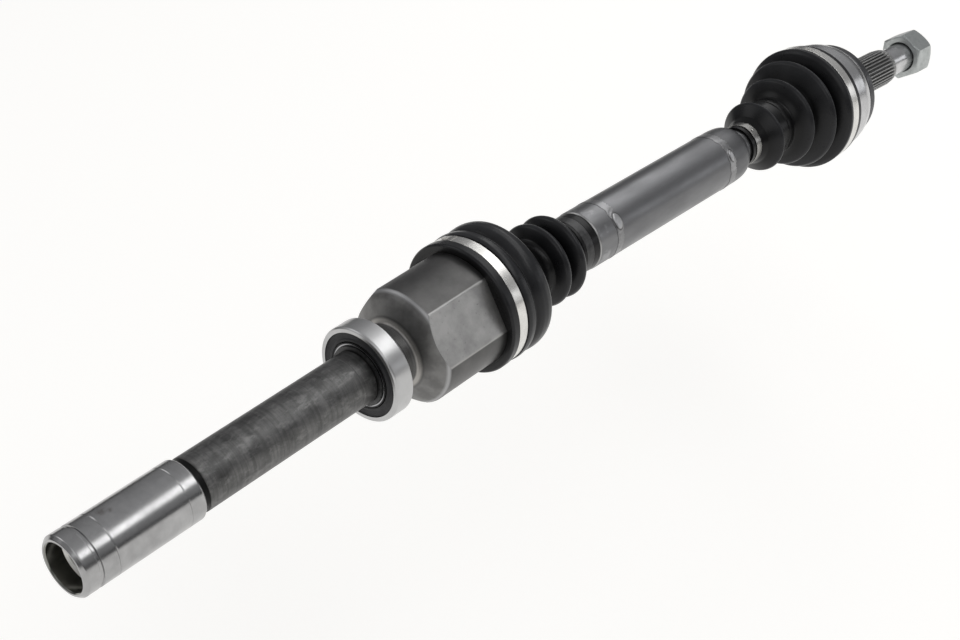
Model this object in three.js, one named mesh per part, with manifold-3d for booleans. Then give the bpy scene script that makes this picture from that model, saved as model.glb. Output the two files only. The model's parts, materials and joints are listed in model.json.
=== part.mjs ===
// Right-hand drive shaft of a front-wheel-drive car, in millimetres, +Z up, lying on z = 0.
// Three axes meet at two joint centres: the tulip axis and the shaft axis at the tripod centre,
// the shaft axis and the hub axis at the ball joint centre. Stations along the tulip and shaft
// axes count from the tripod centre, stations along the hub axis from the ball joint centre.
import * as THREE from 'three';
import { mergeVertices } from 'three/addons/utils/BufferGeometryUtils.js';
import Module from 'manifold-3d';

const wasm = await Module();
wasm.setup();

// ---- driving dimensions ----
const degree = Math.PI / 180;
const shaftRise = 0.26 * degree;
const inboardBend = 2.72 * degree;
const outboardBend = 2.8 * degree;
const tulipRise = shaftRise + inboardBend;
const hubRise = shaftRise - outboardBend;
const jointSpan = 426;
const gap = 0.3;

const roundSides = 24;
const hiddenSides = 16;

const sleeveStart = -283;
const sleeveEnd = -201.2;
const sleeveRadius = 18.75;
const sleeveBore = 14.85;
const spigotStart = -235;
const plugStart = -247;
const plugDepth = 6;
const barRadius = 17;

const bearingMiddle = -60;
const bearingHalfWidth = 7;
const bearingRadius = 31;
const bearingBore = 17.5;
const bearingPitch = 24.25;
const bearingBallRadius = 3.9;
const bearingBalls = 11;
const raceRoom = 4.2;
const outerShoulder = 27.7;
const innerShoulder = 21.3;

const tulipRadius = 38;
const flatDistance = 33.8;
const flatTurn = 3.7 * degree;
const tulipMouth = 37;
const tulipFloor = -31;
const hubHollow = 22;
const trackHalfWidth = 16.5;
const trackTop = 29;

const trunnionReach = 22;
const trunnionBall = 8.6;
const rollerRadius = 15.5;
const rollerHalfWidth = 5.5;
const rollerBore = 12.1;
const innerRollerRadius = 11.6;
const innerRollerBore = 9.4;
const spiderHalfWidth = 9;
const spiderBore = 11.6;
const shaftSeat = 11.3;

const stubRadius = 12.8;
const tubeRadius = 20.4;
const tubeBore = 17.4;
const tubeStart = 155;
const tubeEnd = 287;
const weldFlangeStart = 136.3;
const weldFlangeEnd = 310;

const ballRadius = 8.5;
const ballPitch = 27;
const ballTrack = 10.1;
const ballCount = 6;
const cageOuter = 30.2;
const cageInner = 23.6;
const cageHalfWidth = 11;
const raceSphere = 22.9;
const raceHalfWidth = 11;
const bellHollow = 31;
const bellMouth = -25;
const bellFloor = 22.5;

const splineStart = 38;
const splineEnd = 96;
const splineRadius = 14.2;
const threadRadius = 11;
const nutStart = 124.5;
const nutEnd = 146;
const nutAcrossFlats = 32;

// ---- geometry helpers ----
// A solid of revolution about +X from [station, radius] pairs that close on themselves.
function revolve(profile, sides = roundSides) {
  const points = profile.map(([station, radius]) => new THREE.Vector2(radius, station));
  points.push(points[0].clone());
  const geometry = new THREE.LatheGeometry(points, sides);
  geometry.rotateZ(-Math.PI / 2);
  return faceOut(geometry);
}

// The same for a bar: its profile starts and ends on the axis.
function turnBar(profile, sides = roundSides) {
  const points = profile.map(([station, radius]) => new THREE.Vector2(radius, station));
  const geometry = new THREE.LatheGeometry(points, sides);
  geometry.rotateZ(-Math.PI / 2);
  return faceOut(geometry);
}

// Merges shared corners, drops empty triangles and turns the faces outwards.
function faceOut(geometry) {
  geometry.deleteAttribute('normal');
  geometry.deleteAttribute('uv');
  const merged = mergeVertices(geometry, 1e-4);
  const kept = [];
  const corners = merged.index.array;
  for (let i = 0; i < corners.length; i += 3) {
    const [a, b, c] = [corners[i], corners[i + 1], corners[i + 2]];
    if (a !== b && b !== c && c !== a) {
      kept.push(a, b, c);
    }
  }
  if (signedVolume(merged, kept) < 0) {
    kept.reverse();
  }
  merged.setIndex(kept);
  return merged;
}

function signedVolume(geometry, corners) {
  const position = geometry.getAttribute('position');
  const [a, b, c] = [new THREE.Vector3(), new THREE.Vector3(), new THREE.Vector3()];
  let sum = 0;
  for (let i = 0; i < corners.length; i += 3) {
    a.fromBufferAttribute(position, corners[i]);
    b.fromBufferAttribute(position, corners[i + 1]);
    c.fromBufferAttribute(position, corners[i + 2]);
    sum += a.dot(b.cross(c)) / 6;
  }
  return sum;
}

function solid(geometry) {
  const merged = faceOut(geometry);
  const vertProperties = new Float32Array(merged.getAttribute('position').array);
  const triVerts = new Uint32Array(merged.index.array);
  return new wasm.Manifold(new wasm.Mesh({ numProp: 3, vertProperties, triVerts }));
}

function geometryOf(manifold) {
  const mesh = manifold.getMesh();
  const geometry = new THREE.BufferGeometry();
  geometry.setAttribute('position', new THREE.BufferAttribute(new Float32Array(mesh.vertProperties), 3));
  geometry.setIndex(Array.from(mesh.triVerts));
  return geometry;
}

// A box that spans x0..x1 and z0..z1 and reaches y either way, turned about X by angle.
function block(x0, x1, y, z0, z1, angle = 0) {
  const geometry = new THREE.BoxGeometry(x1 - x0, 2 * y, z1 - z0);
  geometry.translate((x0 + x1) / 2, 0, (z0 + z1) / 2);
  geometry.rotateX(angle);
  return solid(geometry);
}

// A ring section of the named width, from one radius to another.
const ring = (start, end, inner, outer, sides) =>
  revolve([[start, inner], [start, outer], [end, outer], [end, inner]], sides);

// The sphere of that radius about the origin, cut off at x = -half and x = half, with a bore.
function sphereZone(radius, half, bore, sides = hiddenSides, steps = 4) {
  const reach = Math.asin(half / radius);
  const profile = [[-half, bore]];
  for (let i = 0; i <= steps; i += 1) {
    const angle = -reach + (2 * reach * i) / steps;
    profile.push([radius * Math.sin(angle), radius * Math.cos(angle)]);
  }
  profile.push([half, bore]);
  return revolve(profile, sides);
}

// Points of an arc of a ball race: centre on the pitch radius at the bearing's middle.
function raceArc(shoulder, steps = 4) {
  const reach = Math.acos(Math.abs(shoulder - bearingPitch) / raceRoom);
  const side = Math.sign(shoulder - bearingPitch);
  const points = [];
  for (let i = 0; i <= steps; i += 1) {
    const angle = -reach + (2 * reach * i) / steps;
    const station = raceRoom * Math.sin(angle);
    points.push([bearingMiddle + station, bearingPitch + side * raceRoom * Math.cos(angle)]);
  }
  return points;
}

// An open spring ring: an arc of wire with its gap facing down.
function circlip(start, end, inner, outer, gapAngle) {
  const shape = new THREE.Shape();
  const from = Math.PI + gapAngle / 2;
  const to = 3 * Math.PI - gapAngle / 2;
  shape.absarc(0, 0, outer, from, to, false);
  shape.absarc(0, 0, inner, to, from, true);
  const options = { depth: end - start, bevelEnabled: false, curveSegments: 8 };
  const geometry = new THREE.ExtrudeGeometry(shape, options);
  geometry.rotateY(Math.PI / 2);
  geometry.translate(start, 0, 0);
  return faceOut(geometry);
}

// ---- frames of the three axes ----
// Rising towards +X by an angle is a turn about Y by minus that angle.
const tripodCentre = new THREE.Vector3(0, 0, 0);
const ballCentre = new THREE.Vector3(jointSpan * Math.cos(shaftRise), 0, jointSpan * Math.sin(shaftRise));
const cageRise = (shaftRise + hubRise) / 2;

function axisFrame(origin, rise) {
  const frame = new THREE.Group();
  frame.position.copy(origin);
  frame.rotation.y = -rise;
  return frame;
}

const assembly = new THREE.Group();
const tulipAxis = axisFrame(tripodCentre, tulipRise);
const shaftAxis = axisFrame(tripodCentre, shaftRise);
const hubAxis = axisFrame(ballCentre, hubRise);
const cageAxis = axisFrame(ballCentre, cageRise);
assembly.add(tulipAxis, shaftAxis, hubAxis, cageAxis);

const finishes = {
  ground: { color: 0xb9babb, metalness: 1, roughness: 0.25 },
  forged: { color: 0x6f6e6c, metalness: 0.9, roughness: 0.5 },
  bar: { color: 0x4b4b4a, metalness: 0.9, roughness: 0.5 },
  tube: { color: 0x77787a, metalness: 0.9, roughness: 0.45 },
  zinc: { color: 0xa9aeae, metalness: 0.9, roughness: 0.35 },
  spring: { color: 0x2b2b2c, metalness: 0.8, roughness: 0.4 },
  clamp: { color: 0xc4c1ba, metalness: 1, roughness: 0.3 },
  rubber: { color: 0x1b1b1d, metalness: 0, roughness: 0.6 },
  seal: { color: 0x242426, metalness: 0, roughness: 0.5 },
  nylon: { color: 0x6b6256, metalness: 0, roughness: 0.6 },
};

function add(frame, name, geometry, finish) {
  const mesh = new THREE.Mesh(geometry, new THREE.MeshStandardMaterial(finishes[finish]));
  mesh.name = name;
  frame.add(mesh);
  return mesh;
}

// ---- gearbox end: ground sleeve over the bar, closed inside by a plug ----
function gearboxSleeve() {
  return revolve([
    [sleeveStart, 15.7],
    [sleeveStart, 17.4],
    [sleeveStart + 2, sleeveRadius],
    [sleeveStart + 10.4, sleeveRadius],
    [sleeveStart + 10.4, sleeveRadius - 0.4],
    [sleeveStart + 12.2, sleeveRadius - 0.4],
    [sleeveStart + 12.2, sleeveRadius],
    [sleeveEnd - 2.2, sleeveRadius],
    [sleeveEnd, sleeveRadius - 0.5],
    [sleeveEnd, sleeveBore],
    [sleeveStart + 0.85, sleeveBore],
  ]);
}

function borePlug() {
  const outer = sleeveBore - gap;
  return turnBar([
    [plugStart + 2, 0],
    [plugStart + 2, outer - 3],
    [plugStart, outer - 1.5],
    [plugStart, outer],
    [plugStart + plugDepth, outer],
    [plugStart + plugDepth, 0],
  ], hiddenSides);
}

// ---- intermediate bar forged in one with the tulip ----
function tulip() {
  const bearingSeat = bearingBore - gap;
  const clipGroove = bearingMiddle - bearingHalfWidth;
  const outside = solid(turnBar([
    [spigotStart, 0],
    [spigotStart, sleeveBore - gap],
    [sleeveEnd + gap, sleeveBore - gap],
    [sleeveEnd + gap, barRadius - 0.3],
    [sleeveEnd + 6, barRadius - 0.3],
    [sleeveEnd + 6.4, barRadius],
    [clipGroove - 2, barRadius],
    [clipGroove - 2, barRadius - 0.9],
    [clipGroove - 0.2, barRadius - 0.9],
    [clipGroove - 0.2, bearingSeat],
    [bearingMiddle + bearingHalfWidth + gap, bearingSeat],
    [bearingMiddle + bearingHalfWidth + gap, 19.6],
    [-41, 19.4],
    [-39, 20.3],
    [-37.6, 22.8],
    [-34.2, 29.8],
    [-32.3, 33.7],
    [-29.9, 36.7],
    [-28.4, tulipRadius],
    [tulipMouth, tulipRadius],
    [tulipMouth, 0],
  ]));
  const flare = solid(turnBar([
    [tulipFloor, 0],
    [tulipFloor, hubHollow],
    [15, hubHollow + 0.5],
    [tulipMouth + 1, 30.3],
    [tulipMouth + 1, 0],
  ], 24));
  let forging = outside.subtract(flare);
  for (let i = 0; i < 3; i += 1) {
    const turn = (i * 120) * degree;
    forging = forging.subtract(block(tulipFloor, tulipMouth + 1, trackHalfWidth, 0, trackTop, turn));
    const cut = block(-60, tulipMouth + 1, 40, flatDistance, 60, turn + Math.PI + flatTurn);
    forging = forging.subtract(cut);
  }
  return geometryOf(forging);
}

// ---- support bearing ----
function bearingOuterRing() {
  const face = bearingHalfWidth;
  return revolve([
    [bearingMiddle + face, outerShoulder],
    [bearingMiddle + face, bearingRadius - 1],
    [bearingMiddle + face - 1, bearingRadius],
    [bearingMiddle - face + 1, bearingRadius],
    [bearingMiddle - face, bearingRadius - 1],
    [bearingMiddle - face, outerShoulder],
    ...raceArc(outerShoulder),
  ]);
}

function bearingInnerRing() {
  const face = bearingHalfWidth;
  return revolve([
    [bearingMiddle - face, innerShoulder],
    [bearingMiddle - face, bearingBore + 0.8],
    [bearingMiddle - face + 0.8, bearingBore],
    [bearingMiddle + face - 0.8, bearingBore],
    [bearingMiddle + face, bearingBore + 0.8],
    [bearingMiddle + face, innerShoulder],
    ...raceArc(innerShoulder).reverse(),
  ]);
}

function bearingCage() {
  const halfWidth = 4.9;
  const pocket = 4.2;
  let cage = solid(ring(bearingMiddle - halfWidth, bearingMiddle + halfWidth, 23.3, 25.2, 2 * bearingBalls));
  for (let i = 0; i < bearingBalls; i += 1) {
    const hole = new THREE.CylinderGeometry(pocket, pocket, 8, 8);
    hole.rotateX(Math.PI / 2);
    hole.translate(bearingMiddle, 0, bearingPitch);
    hole.rotateX((2 * Math.PI * i) / bearingBalls);
    cage = cage.subtract(solid(hole));
  }
  return geometryOf(cage);
}

function addBearing() {
  add(tulipAxis, 'bearing_outer_ring', bearingOuterRing(), 'ground');
  add(tulipAxis, 'bearing_inner_ring', bearingInnerRing(), 'ground');
  add(tulipAxis, 'bearing_ball_cage', bearingCage(), 'nylon');
  for (let i = 0; i < bearingBalls; i += 1) {
    const ball = new THREE.SphereGeometry(bearingBallRadius, 8, 6);
    ball.translate(bearingMiddle, 0, bearingPitch);
    ball.rotateX((2 * Math.PI * i) / bearingBalls);
    add(tulipAxis, `bearing_ball_${i + 1}`, faceOut(ball), 'ground');
  }
  const sealInner = innerShoulder + gap;
  const sealOuter = outerShoulder - gap;
  const face = bearingMiddle - bearingHalfWidth;
  const back = bearingMiddle + bearingHalfWidth;
  add(tulipAxis, 'bearing_seal_front', ring(face + 0.4, face + 1.6, sealInner, sealOuter), 'seal');
  add(tulipAxis, 'bearing_seal_rear', ring(back - 1.6, back - 0.4, sealInner, sealOuter), 'seal');
  const clip = circlip(face - 1.7, face - gap, barRadius - 0.6, 19.4, 40 * degree);
  add(tulipAxis, 'bearing_circlip', clip, 'spring');
}

// ---- tripod joint inside the tulip ----
function spider() {
  let body = solid(ring(-spiderHalfWidth, spiderHalfWidth, 6, 13.5, 18));
  for (let i = 0; i < 3; i += 1) {
    const turn = i * 120 * degree;
    const neck = new THREE.CylinderGeometry(6.4, 6.4, 8, 10);
    neck.rotateX(Math.PI / 2);
    neck.translate(0, 0, 14);
    neck.rotateX(turn);
    const knob = new THREE.SphereGeometry(trunnionBall, 10, 7);
    knob.rotateX(Math.PI / 2);
    knob.translate(0, 0, trunnionReach);
    knob.rotateX(turn);
    const trimmed = solid(knob).subtract(block(-10, 10, 10, trunnionReach + rollerHalfWidth, 40, turn));
    body = body.add(solid(neck)).add(trimmed);
  }
  return geometryOf(body.subtract(solid(turnBar([[-20, 0], [-20, spiderBore], [20, spiderBore], [20, 0]], 18))));
}

// A roller turns about a trunnion; its rim is crowned.
function roller() {
  const crown = 1.1;
  return revolve([
    [-rollerHalfWidth, rollerBore],
    [-rollerHalfWidth, rollerRadius - crown],
    [-rollerHalfWidth / 2, rollerRadius - crown / 4],
    [0, rollerRadius],
    [rollerHalfWidth / 2, rollerRadius - crown / 4],
    [rollerHalfWidth, rollerRadius - crown],
    [rollerHalfWidth, rollerBore],
  ], hiddenSides);
}

function addTripod() {
  add(shaftAxis, 'tripod_spider', spider(), 'forged');
  const lean = tulipRise - shaftRise;
  for (let i = 0; i < 3; i += 1) {
    const turn = -i * 120 * degree;
    const travel = trunnionReach * Math.cos(turn) * Math.sin(lean);
    const pair = [
      ['tripod_roller', roller(), 'ground'],
      ['tripod_roller_race', ring(-rollerHalfWidth, rollerHalfWidth, innerRollerBore, innerRollerRadius, 16), 'ground'],
    ];
    for (const [name, geometry, finish] of pair) {
      geometry.rotateY(-Math.PI / 2);
      geometry.translate(0, 0, trunnionReach);
      geometry.rotateX(turn);
      geometry.translate(travel, 0, 0);
      add(tulipAxis, `${name}_${i + 1}`, geometry, finish);
    }
  }
  const clipStart = -spiderHalfWidth - 1.7;
  const clip = circlip(clipStart, -spiderHalfWidth - gap, shaftSeat - 0.7, 13.4, 50 * degree);
  add(shaftAxis, 'spider_circlip', clip, 'spring');
}

// ---- shaft: two bars welded to a tube ----
function inboardBar() {
  return turnBar([
    [-14, 0],
    [-14, shaftSeat - 0.8],
    [-13, shaftSeat],
    [-10.9, shaftSeat],
    [-10.9, shaftSeat - 1],
    [-9.1, shaftSeat - 1],
    [-9.1, shaftSeat],
    [spiderHalfWidth + gap, shaftSeat],
    [spiderHalfWidth + gap, stubRadius],
    [weldFlangeStart, stubRadius],
    [weldFlangeStart, 19.6],
    [weldFlangeStart + 1, tubeRadius],
    [tubeStart - gap, tubeRadius],
    [tubeStart - gap, tubeBore - gap],
    [tubeStart + 7, tubeBore - gap],
    [tubeStart + 7, 0],
  ], 22);
}

function outboardBar() {
  const race = jointSpan - raceHalfWidth;
  return turnBar([
    [tubeEnd - 7, 0],
    [tubeEnd - 7, tubeBore - gap],
    [tubeEnd + gap, tubeBore - gap],
    [tubeEnd + gap, tubeRadius],
    [300, tubeRadius - 0.1],
    [306, tubeRadius - 0.7],
    [weldFlangeEnd, tubeRadius - 2],
    [weldFlangeEnd + 1.4, 15],
    [weldFlangeEnd + 5, 13.1],
    [379, 13.1],
    [382, 11.5],
    [race - gap, 11.5],
    [race - gap, shaftSeat],
    [jointSpan + raceHalfWidth + 0.3, shaftSeat],
    [jointSpan + raceHalfWidth + 0.3, shaftSeat - 1],
    [jointSpan + raceHalfWidth + 2.1, shaftSeat - 1],
    [jointSpan + raceHalfWidth + 2.1, shaftSeat],
    [jointSpan + raceHalfWidth + 3.5, shaftSeat - 0.6],
    [jointSpan + raceHalfWidth + 3.5, 0],
  ], 22);
}

// ---- boots: revolved, then bent from one axis to the next ----
// Each corner moves from the first axis to the second between the two stations.
function bend(geometry, first, second, start, end) {
  const position = geometry.getAttribute('position');
  const [a, b] = [new THREE.Vector3(), new THREE.Vector3()];
  for (let i = 0; i < position.count; i += 1) {
    a.fromBufferAttribute(position, i);
    b.copy(a);
    const share = THREE.MathUtils.smoothstep(a.x, start, end);
    a.applyMatrix4(first);
    b.applyMatrix4(second);
    a.lerp(b, share);
    position.setXYZ(i, a.x, a.y, a.z);
  }
  return geometry;
}

function frameMatrix(frame, stationShift = 0) {
  frame.updateMatrix();
  return frame.matrix.clone().multiply(new THREE.Matrix4().makeTranslation(-stationShift, 0, 0));
}

function inboardBoot() {
  const outside = [
    [21, 40.6], [21, 42.6], [22.4, 43.5], [27.4, 43.5], [27.6, 41.7], [35.4, 41.7],
    [35.8, 43.3], [44, 43.3], [46.5, 42.1], [49.5, 43.4], [52.5, 43.8], [56, 43.1],
    [59, 41], [66, 27.5], [73, 21.8], [84, 20.6], [92, 26.6], [95, 28.3], [98, 26.6],
    [102.5, 22.2], [107, 26.6], [110, 28.3], [113, 26.9], [120, 19.4], [123, 17.2],
    [130, 17.2], [131, 18.2], [134.5, 18.2],
  ];
  const inside = [
    [134.5, 13.3], [120, 14.6], [110, 25.4], [102.5, 19.6], [95, 25.4], [84, 18],
    [73, 19], [65, 25], [58, 38], [52, 41.4], [38, 40.6],
  ];
  const geometry = revolve([...outside, ...inside], roundSides);
  return bend(geometry, frameMatrix(tulipAxis), frameMatrix(shaftAxis), 68, 88);
}

function outerBoot() {
  const outside = [
    [319.5, 14.9], [323, 14.9], [323.3, 14.2], [329.8, 14.2], [330.2, 15.3], [334.5, 17.6],
    [340.4, 25], [342.4, 26], [344.4, 25], [348, 20.9], [363.5, 20.9], [366.5, 24],
    [369, 31], [371, 32.6], [373, 31.4], [378, 26.6], [386, 39], [388, 40.1], [390, 39],
    [394, 34.4], [399.5, 44.2], [402, 45.4], [404.3, 45.2], [404.6, 43.4], [412.7, 43.4],
    [413, 44.2], [415.6, 43.9],
  ];
  const inside = [
    [415.6, 41.5], [400.6, 41.5], [394, 32], [388, 37.7], [378, 24.2],
    [371, 30], [364, 18.8], [348, 18.8], [342.4, 23.4], [334, 15], [331, 13.4], [319.5, 13.4],
  ];
  const geometry = revolve([...outside, ...inside], roundSides);
  const first = frameMatrix(shaftAxis);
  const second = frameMatrix(hubAxis, jointSpan);
  return bend(geometry, first, second, 334, 396);
}

// The bush fills the tulip's flats, so that the round boot seals on it.
function flatFiller() {
  const [start, end] = [21.3, 36.7];
  let core = solid(turnBar([
    [start - 5, 0], [start - 5, tulipRadius + gap], [end + 5, tulipRadius + gap], [end + 5, 0],
  ]));
  for (let i = 0; i < 3; i += 1) {
    const turn = (180 + i * 120) * degree + flatTurn;
    core = core.subtract(block(start - 6, end + 6, 40, flatDistance + gap, 60, turn));
  }
  const blank = solid(turnBar([[start, 0], [start, 40.3], [end, 40.3], [end, 0]]));
  return geometryOf(blank.subtract(core));
}

// ---- fixed-centre ball joint ----
// Three rings of track room, one through each opposite pair of balls, up to station end.
function trackRoom(end) {
  let room = null;
  for (let i = 0; i < ballCount / 2; i += 1) {
    const track = new THREE.TorusGeometry(ballPitch, ballTrack, 10, 22);
    track.rotateX((30 + (360 * i) / ballCount) * degree);
    room = room ? room.add(solid(track)) : solid(track);
  }
  return room.intersect(block(-60, end, 60, -60, 60));
}

function innerRace() {
  const blank = solid(sphereZone(raceSphere, raceHalfWidth, spiderBore, 24));
  return geometryOf(blank.subtract(trackRoom(raceHalfWidth + 1)));
}

function ballCage() {
  const outer = sphereZone(cageOuter, cageHalfWidth, 5, 24);
  const inner = new THREE.SphereGeometry(cageInner + 0.2, 20, 14);
  inner.rotateZ(Math.PI / 2);
  let cage = solid(outer).subtract(solid(inner));
  for (let i = 0; i < ballCount; i += 1) {
    const turn = (30 + (360 * i) / ballCount) * degree - Math.PI / 2;
    cage = cage.subtract(block(-ballRadius - 0.6, ballRadius + 0.6, ballRadius + 0.9, 15, 40, turn));
  }
  return geometryOf(cage);
}

function bell() {
  const outside = solid(turnBar([
    [bellMouth, 0],
    [bellMouth, 40.4],
    [bellMouth + 0.7, 41],
    [-10.8, 41],
    [-10.4, 39.8],
    [-7, 39.8],
    [-6.6, 41.3],
    [5, 41.3],
    [10, 40.2],
    [12.5, 38.9],
    [15.6, 36.4],
    [15.8, 34.5],
    [24, 34.5],
    [32, 22],
    [33.5, 20],
    [splineStart, 20],
    [splineStart, splineRadius],
    [splineEnd - 1, splineRadius],
    [splineEnd, splineRadius - 1],
    [splineEnd + 0.5, threadRadius],
    [nutEnd + 1, threadRadius],
    [nutEnd + 2, threadRadius - 1],
    [nutEnd + 2, 0],
  ]));
  const hollow = [[bellFloor, 0]];
  const [from, to, steps] = [Math.asin(bellFloor / bellHollow), Math.asin(-13 / bellHollow), 6];
  for (let i = 0; i <= steps; i += 1) {
    const angle = from + ((to - from) * i) / steps;
    hollow.push([bellHollow * Math.sin(angle), bellHollow * Math.cos(angle)]);
  }
  hollow.push([bellMouth - 1, 37.6], [bellMouth - 1, 0]);
  const room = solid(turnBar(hollow, 28));
  return geometryOf(outside.subtract(room).subtract(trackRoom(bellFloor)));
}

function hubNut() {
  const corner = nutAcrossFlats / Math.sqrt(3);
  const corners = [];
  for (let i = 0; i < 6; i += 1) {
    const angle = (60 * i + 30) * degree;
    corners.push(new THREE.Vector2(corner * Math.cos(angle), corner * Math.sin(angle)));
  }
  const hex = new THREE.Shape(corners);
  const hole = new THREE.Path();
  hole.absarc(0, 0, threadRadius + gap, 0, 2 * Math.PI, true);
  hex.holes.push(hole);
  const options = { depth: nutEnd - nutStart, bevelEnabled: false, curveSegments: 12 };
  const prism = new THREE.ExtrudeGeometry(hex, options);
  prism.rotateY(Math.PI / 2);
  prism.translate(nutStart, 0, 0);
  const turned = solid(turnBar([
    [nutStart, 0],
    [nutStart, 17.2],
    [nutStart + 1.4, 18.8],
    [nutEnd - 3.2, 18.8],
    [nutEnd, 14.4],
    [nutEnd, 0],
  ], 24));
  return geometryOf(solid(prism).intersect(turned));
}

function addBallJoint() {
  const raceFrame = axisFrame(ballCentre, shaftRise);
  assembly.add(raceFrame);
  add(raceFrame, 'inner_race', innerRace(), 'ground');
  const clip = circlip(raceHalfWidth + gap + 0.2, raceHalfWidth + 1.9, shaftSeat - 0.7, 13, 50 * degree);
  add(raceFrame, 'race_circlip', clip, 'spring');
  add(cageAxis, 'ball_cage', ballCage(), 'ground');
  for (let i = 0; i < ballCount; i += 1) {
    const ball = new THREE.SphereGeometry(ballRadius, 10, 7);
    ball.translate(0, ballPitch, 0);
    ball.rotateX((30 + (360 * i) / ballCount) * degree);
    add(cageAxis, `joint_ball_${i + 1}`, faceOut(ball), 'ground');
  }
  add(hubAxis, 'bell_and_spline', bell(), 'ground');
  add(hubAxis, 'dust_ring', ring(16.1, 23.6, 34.8, 36.6), 'spring');
  add(hubAxis, 'hub_nut', hubNut(), 'zinc');
}

// ---- assembly ----
add(tulipAxis, 'gearbox_sleeve', gearboxSleeve(), 'ground');
add(tulipAxis, 'bore_plug', borePlug(), 'zinc');
add(tulipAxis, 'bar_and_tulip', tulip(), 'forged');
addBearing();
addTripod();
add(shaftAxis, 'inboard_bar', inboardBar(), 'bar');
add(shaftAxis, 'shaft_tube', ring(tubeStart, tubeEnd, tubeBore, tubeRadius), 'tube');
add(shaftAxis, 'outboard_bar', outboardBar(), 'tube');
add(tulipAxis, 'flat_filler_bush', flatFiller(), 'rubber');
add(assembly, 'inboard_boot', inboardBoot(), 'rubber');
add(tulipAxis, 'inboard_large_clamp', ring(27.9, 35.1, 42.1, 43.1), 'clamp');
add(shaftAxis, 'inboard_small_clamp', ring(123.4, 129.6, 17.6, 18.4), 'spring');
add(assembly, 'outer_boot', outerBoot(), 'rubber');
add(shaftAxis, 'outer_small_clamp', ring(323.6, 329.5, 14.6, 15.4), 'clamp');
const clampShift = -jointSpan;
add(hubAxis, 'outer_large_clamp', ring(404.9 + clampShift, 412.4 + clampShift, 43.8, 44.8), 'clamp');
addBallJoint();

// The origin is under the middle of the whole shaft, on the surface it lies on.
assembly.updateMatrixWorld(true);
const extent = new THREE.Box3().setFromObject(assembly, true);
assembly.position.set(-(extent.min.x + extent.max.x) / 2, 0, -extent.min.z);

export default assembly;
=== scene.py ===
"""A cv axle: gearbox sleeve, support bearing, tripod joint, welded tube, ball joint and hub nut.

Lengths are in millimetres along the three axes of the object, and become metres in the meshes.
A station is a distance along an axis. On the tulip and shaft axes it counts from the tripod centre, and
on the hub axis from the ball joint's centre. A profile is a list of (station, radius, fillet).
"""
import json
import math
import random

import bpy
import numpy as np
from mathutils import Matrix, Vector


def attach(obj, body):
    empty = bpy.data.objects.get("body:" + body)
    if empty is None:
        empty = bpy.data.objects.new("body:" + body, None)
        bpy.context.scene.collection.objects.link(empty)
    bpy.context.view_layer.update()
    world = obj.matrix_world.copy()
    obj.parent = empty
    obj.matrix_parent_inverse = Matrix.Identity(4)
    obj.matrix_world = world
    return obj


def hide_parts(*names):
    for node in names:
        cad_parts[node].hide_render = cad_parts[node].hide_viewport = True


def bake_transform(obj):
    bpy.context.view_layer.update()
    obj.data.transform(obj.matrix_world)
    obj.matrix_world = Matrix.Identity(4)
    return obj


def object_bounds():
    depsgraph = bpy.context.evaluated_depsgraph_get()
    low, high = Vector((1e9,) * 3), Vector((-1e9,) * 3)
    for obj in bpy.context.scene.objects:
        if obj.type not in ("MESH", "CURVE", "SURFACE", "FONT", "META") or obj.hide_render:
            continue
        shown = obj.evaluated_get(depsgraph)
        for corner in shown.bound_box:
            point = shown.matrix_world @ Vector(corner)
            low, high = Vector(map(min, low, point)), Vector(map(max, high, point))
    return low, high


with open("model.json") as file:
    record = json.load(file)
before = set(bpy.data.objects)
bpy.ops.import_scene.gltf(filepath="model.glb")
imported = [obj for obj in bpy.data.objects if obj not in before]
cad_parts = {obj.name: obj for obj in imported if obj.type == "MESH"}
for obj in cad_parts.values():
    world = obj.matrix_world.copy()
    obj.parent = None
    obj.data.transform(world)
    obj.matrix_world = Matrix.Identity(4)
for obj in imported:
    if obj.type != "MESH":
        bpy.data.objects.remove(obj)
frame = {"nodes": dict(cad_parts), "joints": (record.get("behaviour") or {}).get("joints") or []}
cad_low, cad_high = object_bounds()

MM = 0.001
JOINT_SPAN = 426.0
FLAT_TURN = 3.7
FLAT_NORMALS = [math.radians(a + FLAT_TURN) for a in (-90, 30, 150)]
ARMS = [math.radians(a) for a in (90, 210, 330)]
joints = {joint["name"]: joint for joint in frame["joints"]}


# ---- the three axes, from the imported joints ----
def axis_frame(origin, direction):
    x = Vector(direction).normalized()
    y = Vector((0, 1, 0))
    z = x.cross(y)
    rows = [[x[i], y[i], z[i], origin[i]] for i in range(3)]
    return Matrix(rows + [[0, 0, 0, 1]])


tripod = Vector(joints["inboard_tilt"]["pos_m"])
ball_centre = Vector(joints["outer_bend_inner_half"]["pos_m"])
tulip_axis = axis_frame(tripod, joints["inboard_plunge"]["axis"])
shaft_axis = axis_frame(tripod, ball_centre - tripod)
hub_axis = axis_frame(ball_centre, joints["hub_nut_turn"]["axis"])


# ---- profiles ----
def rounded(profile, fillet, closed, steps=4):
    """Each corner becomes a short arc. A point may carry its own fillet as a third number."""
    count = len(profile)
    points = []
    for i, corner in enumerate(profile):
        here = np.array(corner[:2], float)
        own = corner[2] if len(corner) > 2 else fillet
        at_end = not closed and i in (0, count - 1)
        if at_end or own <= 0:
            points.append(here)
            continue
        before = np.array(profile[i - 1][:2], float) - here
        after = np.array(profile[(i + 1) % count][:2], float) - here
        lengths = np.linalg.norm(before), np.linalg.norm(after)
        reach = min(own, 0.48 * lengths[0], 0.48 * lengths[1])
        start = here + before / lengths[0] * reach
        end = here + after / lengths[1] * reach
        for k in range(steps + 1):
            t = k / steps
            points.append((1 - t) ** 2 * start + 2 * t * (1 - t) * here + t * t * end)
    return np.array(points)


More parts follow.
